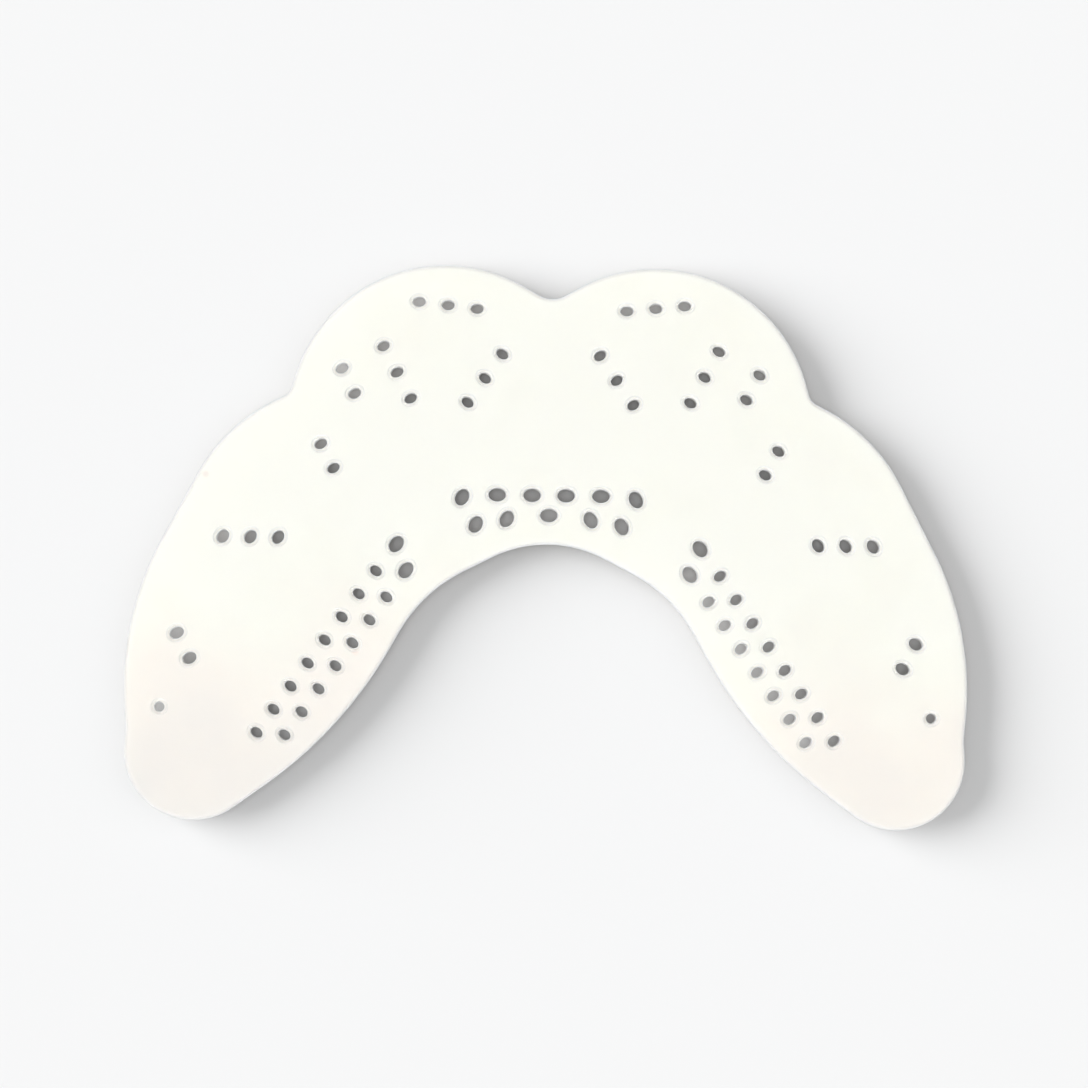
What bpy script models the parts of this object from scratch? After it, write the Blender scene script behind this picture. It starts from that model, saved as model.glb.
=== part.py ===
"""A flat mouthguard blank, as it is before it is warmed and pressed round the teeth.

The real one is injection moulded in one piece: a thin sheet, horseshoe shaped in plan, whose two front
lobes and two cheeks fold up round the teeth. Rows of small oval holes run where the teeth stand. Each is
left by a core pin of the mould, which tapers so that it draws out and is flared at its root.

The sheet lies flat with its underside on z = 0 and the flared mouths of its holes up. X is 0 on the
midline, and +Y points to the front teeth. The plan is drawn in millimetres, out from the midline and
forward from the top of the inner arch, and is then stretched to the overall width and depth.
"""

import math

import bmesh
import bpy
from mathutils import Matrix, Vector

MM = 0.001

# Overall sizes
WIDTH = 84.2 * MM
DEPTH = 55.8 * MM
THICKNESS = 1.6 * MM
EDGE_ROUND = 0.4 * MM

# Radii of the outline, in millimetres
NOTCH_RADIUS = 2.6
LOBE_RADIUS = 15.7
SHOULDER_RADIUS = 1.4
CHEEK_RADIUS = 17.3
SIDE_RADIUS = 30.6
WAIST_RADIUS = 5.5
TIP_RADIUS = 6.9
INNER_EDGE_RADIUS = 42.5
ARCH_SIDE_RADIUS = 15.1
ARCH_TOP_RADIUS = 12.4

# Half of the outline, as corners to be rounded: out, forward and radius. It runs from the notch between
# the lobes, round the outside to the tip of the limb, and back along the inside to the top of the arch.
HALF_OUTLINE = (
    (0.7, 24.6, NOTCH_RADIUS),
    (6.4, 27.8, LOBE_RADIUS),
    (22.2, 27.8, LOBE_RADIUS),
    (26.1, 14.7, SHOULDER_RADIUS),
    (32.6, 11.4, CHEEK_RADIUS),
    (42.1, -6.8, SIDE_RADIUS),
    (42.1, -15.6, SIDE_RADIUS),
    (41.8, -18.9, WAIST_RADIUS),
    (42.5, -28.0, TIP_RADIUS),
    (32.8, -28.0, TIP_RADIUS),
    (20.3, -18.9, INNER_EDGE_RADIUS),
    (12.5, -4.9, ARCH_SIDE_RADIUS),
    (3.0, 0.0, ARCH_TOP_RADIUS),
)

# Holes: length and width of the opening at the underside
SMALL_HOLE = (1.30 * MM, 1.00 * MM)
CHEEK_HOLE = (1.45 * MM, 1.15 * MM)
LARGE_HOLE = (1.72 * MM, 1.36 * MM)
ROUND_HOLE = (1.00 * MM, 1.00 * MM)
PIN_DRAFT = math.radians(2.0)
MOUTH_FLARE = 0.18 * MM
MOUTH_DEPTH = 0.25 * MM

# How a hole's long side lies, in degrees from +X on the right half: ACROSS turns it square to its row
FLAT = 0.0
LEANING = 118.0
STEEP = 126.0
ACROSS = None

# Rows of holes of the right half and the midline: first hole, last hole, how many, size and lie
ROWS = (
    ((7.5, 23.5), (13.3, 24.1), 3, SMALL_HOLE, FLAT),
    ((16.8, 19.6), (14.0, 14.4), 3, SMALL_HOLE, ACROSS),
    ((4.9, 19.0), (8.3, 14.1), 3, SMALL_HOLE, ACROSS),
    ((20.9, 17.3), (19.6, 14.8), 2, SMALL_HOLE, ACROSS),
    ((22.9, 9.7), (21.6, 7.3), 2, SMALL_HOLE, ACROSS),
    ((0.0, 2.9), (0.0, 2.9), 1, LARGE_HOLE, FLAT),
    ((1.7, 4.9), (5.2, 4.9), 2, LARGE_HOLE, FLAT),
    ((4.2, 2.5), (4.2, 2.5), 1, LARGE_HOLE, LEANING),
    ((8.7, 4.6), (7.3, 1.9), 2, LARGE_HOLE, LEANING),
    ((15.2, -0.2), (14.2, -2.8), 2, LARGE_HOLE, STEEP),
    ((17.2, -2.9), (28.8, -19.2), 8, SMALL_HOLE, ACROSS),
    ((16.1, -5.5), (26.0, -19.4), 7, SMALL_HOLE, ACROSS),
    ((27.0, 0.3), (32.5, 0.3), 3, CHEEK_HOLE, STEEP),
    ((36.9, -9.4), (35.6, -11.9), 2, CHEEK_HOLE, ACROSS),
    ((38.5, -16.8), (38.5, -16.8), 1, ROUND_HOLE, FLAT),
)

# How finely the rounds are cut into flats: the steps along the outline are in millimetres
ARC_STEP = 1.4
SHORTEST_STEP = 0.1
FEWEST_STEPS = 2
EDGE_STEPS = 1
PIN_SIDES = 16

# How far a pin runs past the sheet, and how near points or faces are when they count as one
PAST = 1.0 * MM
WELD = 0.001 * MM
ONE_FLAT = math.radians(0.1)
SMOOTH_BELOW = math.radians(35.0)

SHEET_COLOUR = (0.93, 0.92, 0.87, 1.0)
SHEET_ROUGHNESS = 0.42


def rounded(corners):
    """The points of a line from the midline past the corners and back, each corner swept by its arc."""
    first, last = Vector((0.0, corners[0][1])), Vector((0.0, corners[-1][1]))
    stops = [first] + [Vector(corner[:2]) for corner in corners] + [last]
    runs = [after - before for before, after in zip(stops, stops[1:])]
    turns = [before.angle_signed(after) for before, after in zip(runs, runs[1:])]
    reaches = [radius * abs(math.tan(turn / 2)) for (_, _, radius), turn in zip(corners, turns)]
    wanted = [0.0] + reaches + [0.0]
    shares = [min(1.0, run.length / (a + b)) for run, a, b in zip(runs, wanted, wanted[1:])]
    points = [first]
    for i, turn in enumerate(turns):
        share = min(shares[i], shares[i + 1])
        radius = corners[i][2] * share
        start = stops[i + 1] - runs[i].normalized() * reaches[i] * share
        inward = runs[i].orthogonal().normalized() * math.copysign(radius, -turn)
        steps = max(FEWEST_STEPS, math.ceil(abs(turn) * radius / ARC_STEP))
        for step in range(steps + 1):
            point = start + inward - Matrix.Rotation(-turn * step / steps, 2) @ inward
            if (point - points[-1]).length > SHORTEST_STEP:
                points.append(point)
    return points + [last]


HALF_PLAN = rounded(HALF_OUTLINE)
DRAWN_OUT = max(point.x for point in HALF_PLAN)
DRAWN_FRONT = max(point.y for point in HALF_PLAN)
DRAWN_BACK = min(point.y for point in HALF_PLAN)


def placed(out, forward):
    """A point of the drawn plan, stretched to the overall sizes and centred front to back."""
    share = (forward - DRAWN_BACK) / (DRAWN_FRONT - DRAWN_BACK)
    return Vector((out / DRAWN_OUT * WIDTH / 2, (share - 0.5) * DEPTH))


def mirrored(point):
    return Vector((-point.x, point.y))


def new_object(name, mesh, collection):
    obj = bpy.data.objects.new(name, mesh)
    collection.objects.link(obj)
    return obj


def outline_curve():
    """The outline as a filled curve with the sheet's thickness and its rounded edges."""
    right = [placed(*point) for point in HALF_PLAN]
    outline = right + [mirrored(point) for point in right[-2:0:-1]]
    curve = bpy.data.curves.new("outline", "CURVE")
    curve.dimensions = "2D"
    curve.fill_mode = "BOTH"
    curve.extrude = THICKNESS / 2 - EDGE_ROUND
    curve.bevel_depth = EDGE_ROUND
    curve.bevel_resolution = EDGE_STEPS
    curve.offset = -EDGE_ROUND
    spline = curve.splines.new("POLY")
    spline.points.add(len(outline) - 1)
    for point, place in zip(spline.points, outline):
        point.co = (place.x, place.y, 0.0, 1.0)
    spline.use_cyclic_u = True
    return curve


def blank_sheet(collection):
    """The sheet before its holes: the outline as a welded mesh, with each flat side made one face."""
    drawn = new_object("outline", outline_curve(), collection)
    drawn.location.z = THICKNESS / 2
    bpy.context.view_layer.update()
    evaluated = drawn.evaluated_get(bpy.context.evaluated_depsgraph_get())
    blank = new_object("guard_sheet", bpy.data.meshes.new_from_object(evaluated), collection)
    blank.matrix_world = drawn.matrix_world
    bpy.data.objects.remove(drawn)
    bm = bmesh.new()
    bm.from_mesh(blank.data)
    bmesh.ops.remove_doubles(bm, verts=bm.verts, dist=WELD)
    bmesh.ops.dissolve_limit(bm, angle_limit=ONE_FLAT, verts=bm.verts, edges=bm.edges)
    bm.to_mesh(blank.data)
    bm.free()
    return blank


def add_pin(pins, centre, hole, lie):
    """One core pin: a tapered oval shaft up to the mouth of its hole, and a flared root from there up."""
    length, width = hole
    taper = math.tan(PIN_DRAFT)
    flare = MOUTH_FLARE / MOUTH_DEPTH
    foot = THICKNESS - MOUTH_DEPTH
    top = THICKNESS + PAST
    foot_radius = width / 2 + foot * taper
    top_radius = foot_radius + (top - foot) * flare
    shaft = bmesh.ops.create_cone(
        pins,
        cap_ends=True,
        segments=PIN_SIDES,
        radius1=width / 2 - PAST * taper,
        radius2=foot_radius,
        depth=foot + PAST,
        matrix=Matrix.Translation((0.0, 0.0, (foot - PAST) / 2)),
    )["verts"]
    rim = {vert for vert in shaft if vert.co.z > 0}
    cap = next(face for vert in rim for face in vert.link_faces if rim.issuperset(face.verts))
    root = bmesh.ops.extrude_discrete_faces(pins, faces=[cap])["faces"][0].verts[:]
    bmesh.ops.scale(pins, vec=(top_radius / foot_radius, top_radius / foot_radius, 1.0), verts=root)
    bmesh.ops.translate(pins, vec=(0.0, 0.0, top - foot), verts=root)
    place = Matrix.Translation(centre.to_3d()) @ Matrix.Rotation(lie, 4, "Z")
    oval = Matrix.Diagonal((length / width, 1.0, 1.0, 1.0))
    bmesh.ops.transform(pins, matrix=place @ oval, verts=shaft + root)


def core_pins(collection):
    """Every pin, on both sides of the midline, as one cutter."""
    pins = bmesh.new()
    for first, last, count, hole, lie in ROWS:
        start, end = Vector(first), Vector(last)
        along = end - start
        angle = math.atan2(along.x, -along.y) if lie is ACROSS else math.radians(lie)
        for i in range(count):
            spot = placed(*start.lerp(end, i / max(1, count - 1)))
            add_pin(pins, spot, hole, angle)
            if spot.x > 0:
                add_pin(pins, mirrored(spot), hole, -angle)
    mesh = bpy.data.meshes.new("core_pins")
    pins.to_mesh(mesh)
    pins.free()
    cutter = new_object("core_pins", mesh, collection)
    cutter.display_type = "WIRE"
    cutter.hide_render = True
    return cutter


def guard_material():
    """Warm white thermoplastic with a soft sheen."""
    material = bpy.data.materials.new("warm_white_plastic")
    material.use_nodes = True
    shader = material.node_tree.nodes["Principled BSDF"]
    shader.inputs["Base Color"].default_value = SHEET_COLOUR
    shader.inputs["Roughness"].default_value = SHEET_ROUGHNESS
    shader.inputs["Metallic"].default_value = 0.0
    return material


for old in list(bpy.data.objects):
    bpy.data.objects.remove(old)
parts = bpy.data.collections.new("Mouthguard")
cutters = bpy.data.collections.new("Cutters")
bpy.context.scene.collection.children.link(parts)
bpy.context.scene.collection.children.link(cutters)

sheet = blank_sheet(parts)
sheet.data.materials.append(guard_material())
holes = sheet.modifiers.new("Holes", "BOOLEAN")
holes.operation = "DIFFERENCE"
holes.object = core_pins(cutters)
sheet.data.shade_smooth()
sheet.data.set_sharp_from_angle(angle=SMOOTH_BELOW)
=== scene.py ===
import math

import bmesh
import bpy
from mathutils import Matrix, Vector


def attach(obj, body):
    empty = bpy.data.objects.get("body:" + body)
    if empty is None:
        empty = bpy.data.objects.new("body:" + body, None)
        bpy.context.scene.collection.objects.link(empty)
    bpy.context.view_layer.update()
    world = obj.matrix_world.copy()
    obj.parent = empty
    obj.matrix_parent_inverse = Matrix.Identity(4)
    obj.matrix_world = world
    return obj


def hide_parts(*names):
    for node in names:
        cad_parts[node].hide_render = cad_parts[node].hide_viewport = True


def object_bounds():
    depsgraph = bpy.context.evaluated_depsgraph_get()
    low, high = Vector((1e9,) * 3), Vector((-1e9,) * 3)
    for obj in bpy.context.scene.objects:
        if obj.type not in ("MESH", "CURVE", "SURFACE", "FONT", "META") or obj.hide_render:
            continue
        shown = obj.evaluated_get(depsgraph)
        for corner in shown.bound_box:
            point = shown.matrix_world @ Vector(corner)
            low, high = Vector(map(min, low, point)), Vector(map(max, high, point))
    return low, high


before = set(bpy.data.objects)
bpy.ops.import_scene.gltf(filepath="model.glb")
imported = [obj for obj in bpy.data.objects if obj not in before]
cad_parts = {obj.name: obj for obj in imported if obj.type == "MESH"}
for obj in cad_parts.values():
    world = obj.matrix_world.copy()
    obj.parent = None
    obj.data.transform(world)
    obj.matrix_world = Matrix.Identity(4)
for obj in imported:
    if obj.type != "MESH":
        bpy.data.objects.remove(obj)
cad_low, cad_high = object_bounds()

# The sheet's rim
# The real sheet is injection moulded flat, in one piece, from a soft thermoplastic. It has a notch between
# two lobes, a cheek and a limb on each side and an arch for the tongue, and its edges are rounded to spare
# the gums. A corner is its name, its place out from the midline and forward, and its radius, in millimetres.
MM = 0.001
THICKNESS = 1.6
EDGE_ROUND = 0.4
EDGE_STEPS = 5
ARC_STEPS = 20
NEARLY_ONE = 0.15
WELD = 0.001
RIGHT_CORNERS = (
    ("notch", 0.7, 24.6, 2.6),
    ("lobe", 6.4, 27.8, 15.7),
    ("lobe", 22.2, 27.8, 15.7),
    ("shoulder", 26.1, 14.7, 1.4),
    ("cheek", 32.6, 11.4, 17.3),
    ("side", 42.1, -6.8, 30.6),
    ("side", 42.1, -15.6, 30.6),
    ("waist", 41.8, -18.9, 5.5),
    ("tip", 42.5, -28.0, 6.9),
    ("tip", 32.8, -28.0, 6.9),
    ("inner edge", 20.3, -18.9, 42.5),
    ("arch side", 12.5, -4.9, 15.1),
    ("arch top", 3.0, 0.0, 12.4),
)


def swept_corners(corners):
    """Each corner's arc, as its start, the handles of its start and end, and its end, in millimetres.

    An arc shrinks where its straights are too short for it. Its handles are as long as a circle's are.
    """
    spots = [Vector((out, forward)) for _, out, forward, _ in corners]
    radii = [radius for _, _, _, radius in corners]
    stops = [Vector((0.0, spots[0].y))] + spots + [Vector((0.0, spots[-1].y))]
    runs = [after - before for before, after in zip(stops, stops[1:])]
    turns = [before.angle(after) for before, after in zip(runs, runs[1:])]
    reaches = [radius * math.tan(turn / 2) for radius, turn in zip(radii, turns)]
    wanted = [0.0] + reaches + [0.0]
    shares = [min(1.0, run.length / (a + b)) for run, a, b in zip(runs, wanted, wanted[1:])]
    arcs = []
    for i, turn in enumerate(turns):
        share = min(shares[i], shares[i + 1])
        reach = reaches[i] * share
        held = reach - 4 / 3 * math.tan(turn / 4) * radii[i] * share
        before, after = runs[i].normalized(), runs[i + 1].normalized()
        steps = (-before * reach, -before * held, after * held, after * reach)
        arcs.append([spots[i] + step for step in steps])
    return arcs


def knots_round(arcs):
    """The knots of a loop through the arcs, as handle before, point and handle after.

    Arcs that end nearly where the next one starts share a knot. Other arcs are joined by a straight.
    """
    knots = []
    for last_arc, arc in zip(arcs[-1:] + arcs, arcs):
        end, start = last_arc[3], arc[0]
        if (start - end).length < NEARLY_ONE:
            knots.append((last_arc[2], (start + end) / 2, arc[1]))
        else:
            knots.append((last_arc[2], end, end.lerp(start, 1 / 3)))
            knots.append((end.lerp(start, 2 / 3), start, arc[1]))
    return knots


right_arcs = swept_corners(RIGHT_CORNERS)
left_arcs = [[Vector((-p.x, p.y)) for p in reversed(arc)] for arc in reversed(right_arcs)]
knots = knots_round(right_arcs + left_arcs)

rim_curve = bpy.data.curves.new("rim", "CURVE")
rim_curve.dimensions = "2D"
rim_curve.fill_mode = "BOTH"
rim_curve.resolution_u = ARC_STEPS
spline = rim_curve.splines.new("BEZIER")
spline.bezier_points.add(len(knots) - 1)
spline.use_cyclic_u = True
for point, (before, spot, after) in zip(spline.bezier_points, knots):
    point.handle_left_type = point.handle_right_type = "FREE"
    point.co = (spot.x, spot.y, 0.0)
    point.handle_left = (before.x, before.y, 0.0)
    point.handle_right = (after.x, after.y, 0.0)
rim = bpy.data.objects.new("rim", rim_curve)
bpy.context.scene.collection.objects.link(rim)


def made_mesh(curve_object):
    """The curve object's shape as a mesh of its own."""
    bpy.context.view_layer.update()
    shown = curve_object.evaluated_get(bpy.context.evaluated_depsgraph_get())
    return bpy.data.meshes.new_from_object(shown)


# The drawing is fitted to the CAD node's box here, before the edges get their thickness and rounding
drawn = [vert.co for vert in made_mesh(rim).vertices]
drawn_out = max(co.x for co in drawn)
drawn_front = max(co.y for co in drawn)
drawn_back = min(co.y for co in drawn)
stretch_out = cad_high.x / MM / drawn_out
stretch_forward = (cad_high.y - cad_low.y) / MM / (drawn_front - drawn_back)
place_plan = (
    Matrix.Translation((0.0, cad_low.y / MM, 0.0))
    @ Matrix.Diagonal((stretch_out, stretch_forward, 1.0, 1.0))
    @ Matrix.Translation((0.0, -drawn_back, 0.0))
)
for point in spline.bezier_points:
    point.handle_left, point.co, point.handle_right = (
        place_plan @ point.handle_left,
        place_plan @ point.co,
        place_plan @ point.handle_right,
    )
rim_curve.extrude = THICKNESS / 2 - EDGE_ROUND
rim_curve.bevel_depth = EDGE_ROUND
rim_curve.bevel_resolution = EDGE_STEPS
rim_curve.offset = -EDGE_ROUND

sheet = bmesh.new()
sheet.from_mesh(made_mesh(rim))
bpy.data.objects.remove(rim)
at_face = {vert for vert in sheet.verts if abs(vert.co.z) > THICKNESS / 2 - WELD}
caps = [face for face in sheet.faces if at_face.issuperset(face.verts)]
bmesh.ops.delete(sheet, geom=caps, context="FACES")
bmesh.ops.translate(sheet, vec=(0.0, 0.0, THICKNESS / 2), verts=sheet.verts)
bmesh.ops.remove_doubles(sheet, verts=sheet.verts, dist=WELD)

# The holes
# Each of the 83 holes is left by a tapered oval pin of the mould. It is a little wider at the top, where a
# shallow step runs round it, and its lips are soft. The rows follow the teeth, and their ovals turn with
# them. The rows of the right half are given here, and the left half has the same ones mirrored.
SMALL_HOLE = (1.22, 0.91)
CHEEK_HOLE = (1.37, 1.07)
LARGE_HOLE = (1.68, 1.28)
ROUND_HOLE = (0.92, 0.92)
# How the ovals of a row lie, in degrees, or across the row itself
FLAT, LEANING, STEEP, ACROSS = 0.0, 118.0, 126.0, None
# A row is its first hole, its last hole, how many there are, their size at the underside and how they lie
RIGHT_ROWS = (
    ((7.5, 23.5), (13.3, 24.1), 3, SMALL_HOLE, FLAT),
    ((16.8, 19.6), (14.0, 14.4), 3, SMALL_HOLE, ACROSS),
    ((4.9, 19.0), (8.3, 14.1), 3, SMALL_HOLE, ACROSS),
    ((20.9, 17.3), (19.6, 14.8), 2, SMALL_HOLE, ACROSS),
    ((22.9, 9.7), (21.6, 7.3), 2, SMALL_HOLE, ACROSS),
    ((0.0, 2.9), (0.0, 2.9), 1, LARGE_HOLE, FLAT),
    ((1.7, 4.9), (5.2, 4.9), 2, LARGE_HOLE, FLAT),
    ((4.2, 2.5), (4.2, 2.5), 1, LARGE_HOLE, LEANING),
    ((8.7, 4.6), (7.3, 1.9), 2, LARGE_HOLE, LEANING),
    ((15.2, -0.2), (14.2, -2.8), 2, LARGE_HOLE, STEEP),
    ((17.2, -2.9), (28.8, -19.2), 8, SMALL_HOLE, ACROSS),
    ((16.1, -5.5), (26.0, -19.4), 7, SMALL_HOLE, ACROSS),
    ((27.0, 0.3), (32.5, 0.3), 3, CHEEK_HOLE, STEEP),
    ((36.9, -9.4), (35.6, -11.9), 2, CHEEK_HOLE, ACROSS),
    ((38.5, -16.8), (38.5, -16.8), 1, ROUND_HOLE, FLAT),
)
HOLE_SIDES = 44
# How far the wall stands out from the underside's oval, and how high, up to the sheet's face
WALL = (
    (0.05, 0.00),
    (0.015, 0.02),
    (0.00, 0.06),
    (0.03, 1.20),
    (0.045, 1.30),
    (0.065, 1.37),
    (0.10, 1.42),
    (0.15, 1.445),
    (0.22, 1.46),
    (0.29, 1.475),
    (0.33, 1.505),
    (0.355, 1.55),
    (0.38, 1.58),
    (0.42, 1.60),
    (0.48, 1.60),
)


def hole_wall(size):
    """The wall of one hole of that size, run up from the underside ring by ring."""
    length, width = size[0] / 2, size[1] / 2
    out, height = WALL[0]
    oval = Matrix.Diagonal((length + out, width + out, 1.0, 1.0))
    bm = bmesh.new()
    bmesh.ops.create_circle(bm, cap_ends=False, segments=HOLE_SIDES, radius=1.0, matrix=oval)
    edges = bm.edges[:]
    for next_out, next_height in WALL[1:]:
        grown = bmesh.ops.extrude_edge_only(bm, edges=edges)["geom"]
        ring = {item for item in grown if isinstance(item, bmesh.types.BMVert)}
        grown_edges = [item for item in grown if isinstance(item, bmesh.types.BMEdge)]
        edges = [edge for edge in grown_edges if ring.issuperset(edge.verts)]
        wider = ((length + next_out) / (length + out), (width + next_out) / (width + out), 1.0)
        bmesh.ops.scale(bm, vec=wider, verts=list(ring))
        bmesh.ops.translate(bm, vec=(0.0, 0.0, next_height - height), verts=list(ring))
        out, height = next_out, next_height
    wall = bpy.data.meshes.new("hole_wall")
    bm.to_mesh(wall)
    bm.free()
    return wall


def open_hole(bm, wall, centre, angle):
    """Adds a copy of the wall to the sheet at that place, turned by that angle."""
    place = Matrix.Translation(centre) @ Matrix.Rotation(angle, 4, "Z")
    wall.transform(place)
    bm.from_mesh(wall)
    wall.transform(place.inverted())


walls = {size: hole_wall(size) for size in (SMALL_HOLE, CHEEK_HOLE, LARGE_HOLE, ROUND_HOLE)}
for first, last, count, size, lie in RIGHT_ROWS:
    start, end = Vector((*first, 0.0)), Vector((*last, 0.0))
    along = end - start
    angle = math.atan2(along.x, -along.y) if lie is ACROSS else math.radians(lie)
    for i in range(count):
        spot = place_plan @ start.lerp(end, i / max(1, count - 1))
        open_hole(sheet, walls[size], spot, angle)
        if spot.x > 0:
            open_hole(sheet, walls[size], Vector((-spot.x, spot.y, 0.0)), -angle)
for wall in walls.values():
    bpy.data.meshes.remove(wall)

# The two faces are filled between the rim and the holes' mouths, and the whole is one closed skin
for face in sheet.faces:
    face.smooth = True
open_edges = [edge for edge in sheet.edges if edge.is_boundary]
for face_up in (True, False):
    loops = [edge for edge in open_edges if (edge.verts[0].co.z > THICKNESS / 2) == face_up]
    normal = (0.0, 0.0, 1.0 if face_up else -1.0)
    bmesh.ops.triangle_fill(sheet, use_beauty=True, use_dissolve=False, edges=loops, normal=normal)
bmesh.ops.recalc_face_normals(sheet, faces=sheet.faces)
bmesh.ops.scale(sheet, vec=(MM, MM, MM), verts=sheet.verts)
sheet_mesh = bpy.data.meshes.new("mouthguard_sheet")
sheet.to_mesh(sheet_mesh)
sheet.free()
mouthguard = bpy.data.objects.new("mouthguard_sheet", sheet_mesh)
bpy.context.scene.collection.objects.link(mouthguard)
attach(mouthguard, "root")
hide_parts("guard_sheet")

# The plastic
# A soft thermoplastic that turns mouldable in hot water: warm white, faintly cloudy all through, so light
# enters it and the edges glow, helped by a painted glow on the walls and rim. Its skin is satin, with a very
# fine grain from the mould and a few faint warm freckles where the melt was not quite even. Its lengths are
# in millimetres.
SATIN_ROUGHNESS = 0.42
PLASTIC_IOR = 1.47
LIGHT_REACH = 1.2
REACH_BY_COLOUR = (1.0, 1.0, 0.97)
plastic = bpy.data.materials.new("warm_white_thermoplastic")
plastic.use_nodes = True
nodes, links = plastic.node_tree.nodes, plastic.node_tree.links
skin = nodes["Principled BSDF"]
skin.inputs["Roughness"].default_value = SATIN_ROUGHNESS
skin.inputs["IOR"].default_value = PLASTIC_IOR
skin.inputs["Subsurface Weight"].default_value = 1.0
skin.inputs["Subsurface Radius"].default_value = REACH_BY_COLOUR
skin.inputs["Subsurface Scale"].default_value = LIGHT_REACH * MM
where = nodes.new("ShaderNodeTexCoord")

# White towards the front and darker and creamier towards the tips, the left one most, with a slow cloudiness
# over both
FRONT_WHITE = (0.995, 0.932, 0.846, 1.0)
LIMB_DARKER_CREAM = (0.805, 0.787, 0.76, 1.0)
CREAM_FROM, WHITE_FROM = -38.0, 2.0
LEAN = 0.05
CLOUD_SIZE, CLOUD_SHARE, CLOUD_DETAIL = 14.0, 0.5, 3.0
spread_out = nodes.new("ShaderNodeSeparateXYZ")
links.new(where.outputs["Object"], spread_out.inputs["Vector"])
leaning = nodes.new("ShaderNodeMath")
leaning.operation = "MULTIPLY_ADD"
leaning.inputs[1].default_value = LEAN
links.new(spread_out.outputs["X"], leaning.inputs[0])
links.new(spread_out.outputs["Y"], leaning.inputs[2])
forward = nodes.new("ShaderNodeMapRange")
forward.interpolation_type = "SMOOTHSTEP"
forward.inputs["From Min"].default_value = CREAM_FROM * MM
forward.inputs["From Max"].default_value = WHITE_FROM * MM
links.new(leaning.outputs["Value"], forward.inputs["Value"])
cloud = nodes.new("ShaderNodeTexNoise")
cloud.inputs["Scale"].default_value = 1.0 / (CLOUD_SIZE * MM)
cloud.inputs["Detail"].default_value = CLOUD_DETAIL
links.new(where.outputs["Object"], cloud.inputs["Vector"])
swing = nodes.new("ShaderNodeMapRange")
swing.inputs["To Min"].default_value = -CLOUD_SHARE
swing.inputs["To Max"].default_value = CLOUD_SHARE
links.new(cloud.outputs["Fac"], swing.inputs["Value"])
whiteness = nodes.new("ShaderNodeMath")
whiteness.operation = "ADD"
whiteness.use_clamp = True
links.new(forward.outputs["Result"], whiteness.inputs[0])
links.new(swing.outputs["Result"], whiteness.inputs[1])
tint = nodes.new("ShaderNodeMix")
tint.data_type = "RGBA"
tint.inputs["A"].default_value = LIMB_DARKER_CREAM
tint.inputs["B"].default_value = FRONT_WHITE
links.new(whiteness.outputs["Value"], tint.inputs["Factor"])

# The few freckles are where a point of a sparse lattice comes near the face
FRECKLE_PINK = (0.93, 0.83, 0.76, 1.0)
FRECKLE_SPACING = 9.0
FRECKLE_CORE, FRECKLE_EDGE = 0.15, 0.5
lattice = nodes.new("ShaderNodeTexVoronoi")
lattice.inputs["Scale"].default_value = 1.0 / (FRECKLE_SPACING * MM)
links.new(where.outputs["Object"], lattice.inputs["Vector"])
freckle = nodes.new("ShaderNodeMapRange")
freckle.interpolation_type = "SMOOTHSTEP"
freckle.inputs["From Min"].default_value = FRECKLE_EDGE / FRECKLE_SPACING
freckle.inputs["From Max"].default_value = FRECKLE_CORE / FRECKLE_SPACING
links.new(lattice.outputs["Distance"], freckle.inputs["Value"])
freckled = nodes.new("ShaderNodeMix")
freckled.data_type = "RGBA"
freckled.inputs["B"].default_value = FRECKLE_PINK
links.new(tint.outputs["Result"], freckled.inputs["A"])
links.new(freckle.outputs["Result"], freckled.inputs["Factor"])

# The walls of the holes and the rim are painted a brighter white than the two faces, a painted glow for
# light through the plastic, told by how level the skin lies
WALL_PAINTED_GLOW = (0.995, 0.99, 0.975, 1.0)
UPRIGHT, LEVEL_FROM = 0.3, 0.95
facing = nodes.new("ShaderNodeSeparateXYZ")
links.new(where.outputs["Normal"], facing.inputs["Vector"])
up_or_down = nodes.new("ShaderNodeMath")
up_or_down.operation = "ABSOLUTE"
links.new(facing.outputs["Z"], up_or_down.inputs[0])
level = nodes.new("ShaderNodeMapRange")
level.inputs["From Min"].default_value = UPRIGHT
level.inputs["From Max"].default_value = LEVEL_FROM
links.new(up_or_down.outputs["Value"], level.inputs["Value"])
# Painted glow: the upright skin of walls and rim takes the brighter white, so they look lit through the
# plastic
painted_wall_glow = nodes.new("ShaderNodeMix")
painted_wall_glow.data_type = "RGBA"
painted_wall_glow.inputs["A"].default_value = WALL_PAINTED_GLOW
links.new(freckled.outputs["Result"], painted_wall_glow.inputs["B"])
links.new(level.outputs["Result"], painted_wall_glow.inputs["Factor"])
links.new(painted_wall_glow.outputs["Result"], skin.inputs["Base Color"])

# The grain that the mould leaves
GRAIN_SIZE, GRAIN_DEPTH, GRAIN_DETAIL, GRAIN_STRENGTH = 0.4, 0.01, 2.0, 0.25
grain = nodes.new("ShaderNodeTexNoise")
grain.inputs["Scale"].default_value = 1.0 / (GRAIN_SIZE * MM)
grain.inputs["Detail"].default_value = GRAIN_DETAIL
links.new(where.outputs["Object"], grain.inputs["Vector"])
relief = nodes.new("ShaderNodeBump")
relief.inputs["Strength"].default_value = GRAIN_STRENGTH
relief.inputs["Distance"].default_value = GRAIN_DEPTH * MM
links.new(grain.outputs["Fac"], relief.inputs["Height"])
links.new(relief.outputs["Normal"], skin.inputs["Normal"])
sheet_mesh.materials.append(plastic)

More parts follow.
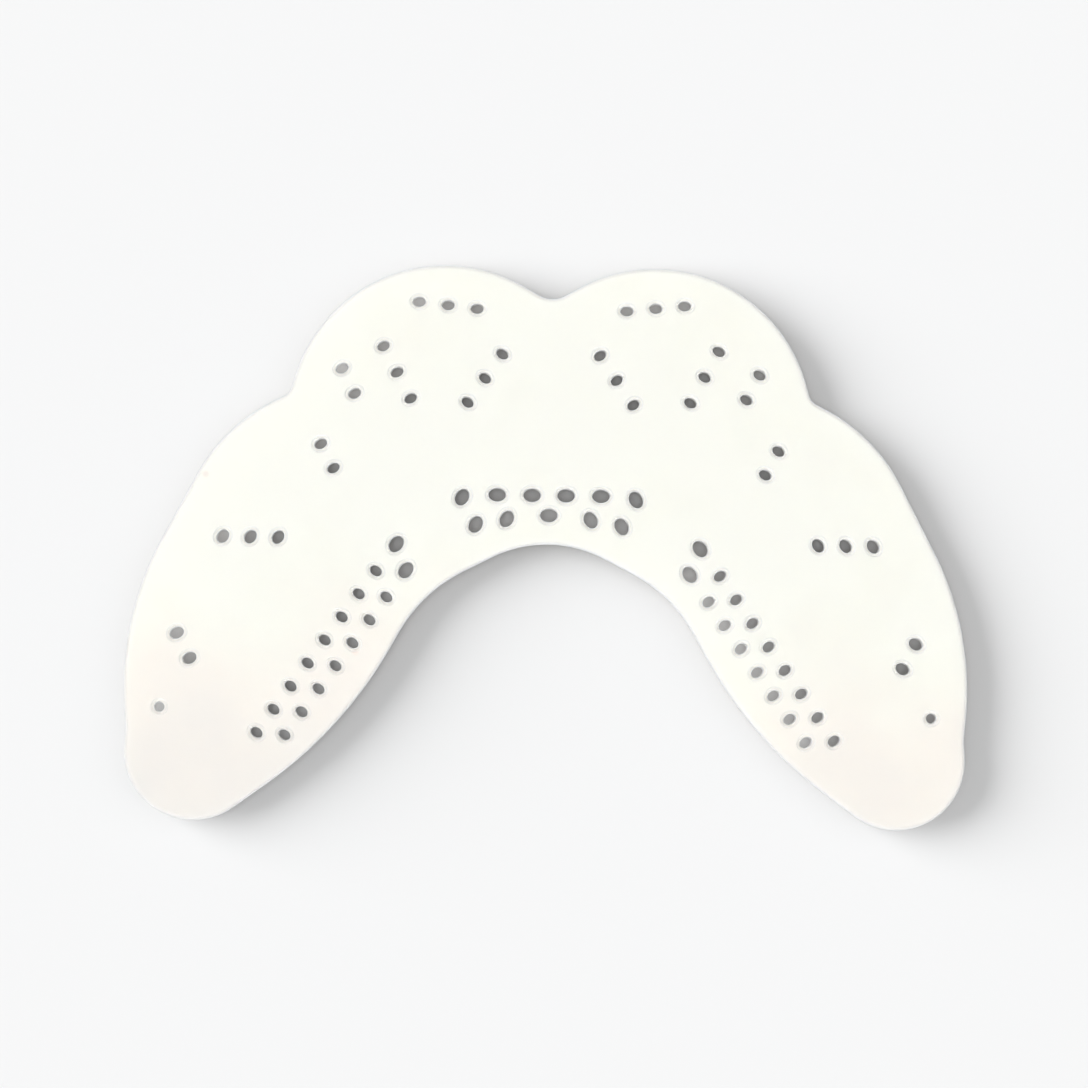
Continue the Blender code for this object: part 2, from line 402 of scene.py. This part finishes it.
# The floor
# A wide matt white board a little under the sheet, with the sheet's shadow on it. The eye sees it white, but
# it throws less light back under the sheet, so that the shadow there stays as deep as in the photograph.
FLOOR_SEEN = (0.766, 0.769, 0.771, 1.0)
FLOOR_BOUNCE = (0.53, 0.54, 0.56, 1.0)
MATT_ROUGHNESS, MATT_SHINE = 0.9, 0.2
FLOOR_SIZE = 4.0
FLOOR_GAP = 2.0 * MM
floor_mesh = bpy.data.meshes.new("floor")
floor_bm = bmesh.new()
bmesh.ops.create_grid(floor_bm, x_segments=1, y_segments=1, size=FLOOR_SIZE / 2)
bmesh.ops.translate(floor_bm, vec=(0.0, 0.0, -FLOOR_GAP), verts=floor_bm.verts)
floor_bm.to_mesh(floor_mesh)
floor_bm.free()


def eye_ray(tree):
    """A socket that is one for what the eye sees, also in a shine or through glass, and else zero."""
    ray = tree.nodes.new("ShaderNodeLightPath")
    seen = ray.outputs["Is Camera Ray"]
    for kind in ("Is Glossy Ray", "Is Transmission Ray"):
        either = tree.nodes.new("ShaderNodeMath")
        either.operation = "MAXIMUM"
        tree.links.new(seen, either.inputs[0])
        tree.links.new(ray.outputs[kind], either.inputs[1])
        seen = either.outputs["Value"]
    return seen


board = bpy.data.materials.new("white_floor")
board.use_nodes = True
board_nodes, board_links = board.node_tree.nodes, board.node_tree.links
board_shader = board_nodes["Principled BSDF"]
board_shader.inputs["Roughness"].default_value = MATT_ROUGHNESS
board_shader.inputs["Specular IOR Level"].default_value = MATT_SHINE
board_colour = board_nodes.new("ShaderNodeMix")
board_colour.data_type = "RGBA"
board_colour.inputs["A"].default_value = FLOOR_BOUNCE
board_colour.inputs["B"].default_value = FLOOR_SEEN
board_links.new(eye_ray(board.node_tree), board_colour.inputs["Factor"])
board_links.new(board_colour.outputs["Result"], board_shader.inputs["Base Color"])
floor_mesh.materials.append(board)
floor = bpy.data.objects.new("floor", floor_mesh)
bpy.context.scene.collection.objects.link(floor)

# The light
# Soft lamps far off round a white room. The high one on the left, the two fills and the one overhead light
# the sheet, and with the room's their shares add up to one. The low one on the left and the one at the right
# side are flagged off the sheet and only draw its shadow on the floor. Directions are in degrees.
LEVEL = 1.03
HIGH_SHARE = 0.24
HIGH_HEIGHT = 75.0
HIGH_SPREAD = 120.0
FRONT_SHARE = 0.05
FRONT_AZIMUTH = 140.0
FRONT_HEIGHT = 25.0
FRONT_SPREAD = 60.0
BACK_SHARE = 0.12
BACK_AZIMUTH = 275.0
BACK_HEIGHT = 35.0
BACK_SPREAD = 60.0
TOP_SHARE = 0.21
TOP_AZIMUTH = 230.0
TOP_HEIGHT = 85.0
TOP_SPREAD = 20.0
KEY_AZIMUTH = 168.0
LOW_SHARE = 0.52
LOW_HEIGHT = 28.0
LOW_SPREAD = 48.0
SIDE_SHARE = 0.07
SIDE_AZIMUTH = 0.0
SIDE_HEIGHT = 45.0
SIDE_SPREAD = 60.0


def soft_lamp(name, share, azimuth, height, spread, only=None):
    """A lamp far off in that direction, which gives a level face its share of the light.

    It lights everything, or only the object that is named.
    """
    towards = Matrix.Rotation(math.radians(azimuth), 3, "Z") @ Matrix.Rotation(math.radians(-height), 3, "Y")
    lamp = bpy.data.lights.new(name, "SUN")
    lamp.energy = LEVEL * share * math.pi / math.sin(math.radians(height))
    lamp.angle = math.radians(spread)
    holder = bpy.data.objects.new(name, lamp)
    holder.rotation_euler = (towards @ Vector((1.0, 0.0, 0.0))).to_track_quat("Z", "Y").to_euler()
    bpy.context.scene.collection.objects.link(holder)
    if only is not None:
        lit = bpy.data.collections.new(name + "_lights")
        lit.objects.link(only)
        holder.light_linking.receiver_collection = lit


soft_lamp("high_key", HIGH_SHARE, KEY_AZIMUTH, HIGH_HEIGHT, HIGH_SPREAD, only=mouthguard)
soft_lamp("front_fill", FRONT_SHARE, FRONT_AZIMUTH, FRONT_HEIGHT, FRONT_SPREAD, only=mouthguard)
soft_lamp("back_fill", BACK_SHARE, BACK_AZIMUTH, BACK_HEIGHT, BACK_SPREAD, only=mouthguard)
soft_lamp("overhead", TOP_SHARE, TOP_AZIMUTH, TOP_HEIGHT, TOP_SPREAD)
soft_lamp("low_key", LOW_SHARE, KEY_AZIMUTH, LOW_HEIGHT, LOW_SPREAD, only=floor)
soft_lamp("side_fill", SIDE_SHARE, SIDE_AZIMUTH, SIDE_HEIGHT, SIDE_SPREAD, only=floor)

# The room gives its share of the light, and the eye sees it about as pale as the floor
ROOM_SHARE = 0.38
ROOM_SEEN = 0.945
ROOM_WHITE = (1.0, 1.0, 1.0, 1.0)
world = bpy.data.worlds.new("white_room")
world.use_nodes = True
room = world.node_tree.nodes["Background"]
room.inputs["Color"].default_value = ROOM_WHITE
room_strength = world.node_tree.nodes.new("ShaderNodeMix")
room_strength.inputs["A"].default_value = LEVEL * ROOM_SHARE
room_strength.inputs["B"].default_value = ROOM_SEEN
world.node_tree.links.new(eye_ray(world.node_tree), room_strength.inputs["Factor"])
world.node_tree.links.new(room_strength.outputs["Result"], room.inputs["Strength"])
bpy.context.scene.world = world

# The camera
# A long lens well above the sheet. It looks almost straight down, from a little left of the middle and a
# little behind it, and is rolled by the degree or so that the sheet is turned in the photograph.
CAMERA_PLACE = Vector((-9.0, -18.0, 430.0)) * MM
CAMERA_AIM = Vector((-0.44, 0.14, 1.2)) * MM
CAMERA_ROLL = math.radians(0.88)
CAMERA_LENS = 142.1
SENSOR_WIDTH = 36.0
NEAREST_SEEN, FARTHEST_SEEN = 0.01, 10.0
camera_data = bpy.data.cameras.new("camera")
camera_data.lens = CAMERA_LENS
camera_data.sensor_width = SENSOR_WIDTH
camera_data.clip_start, camera_data.clip_end = NEAREST_SEEN, FARTHEST_SEEN
camera = bpy.data.objects.new("camera", camera_data)
back = (CAMERA_PLACE - CAMERA_AIM).normalized()
across = Vector((0.0, 1.0, 0.0)).cross(back).normalized()
upright = Matrix((across, back.cross(across), back)).transposed().to_4x4()
camera.matrix_world = Matrix.Translation(CAMERA_PLACE) @ upright @ Matrix.Rotation(CAMERA_ROLL, 4, "Z")
bpy.context.scene.collection.objects.link(camera)
bpy.context.scene.camera = camera
bpy.context.scene.view_settings.view_transform = "Standard"
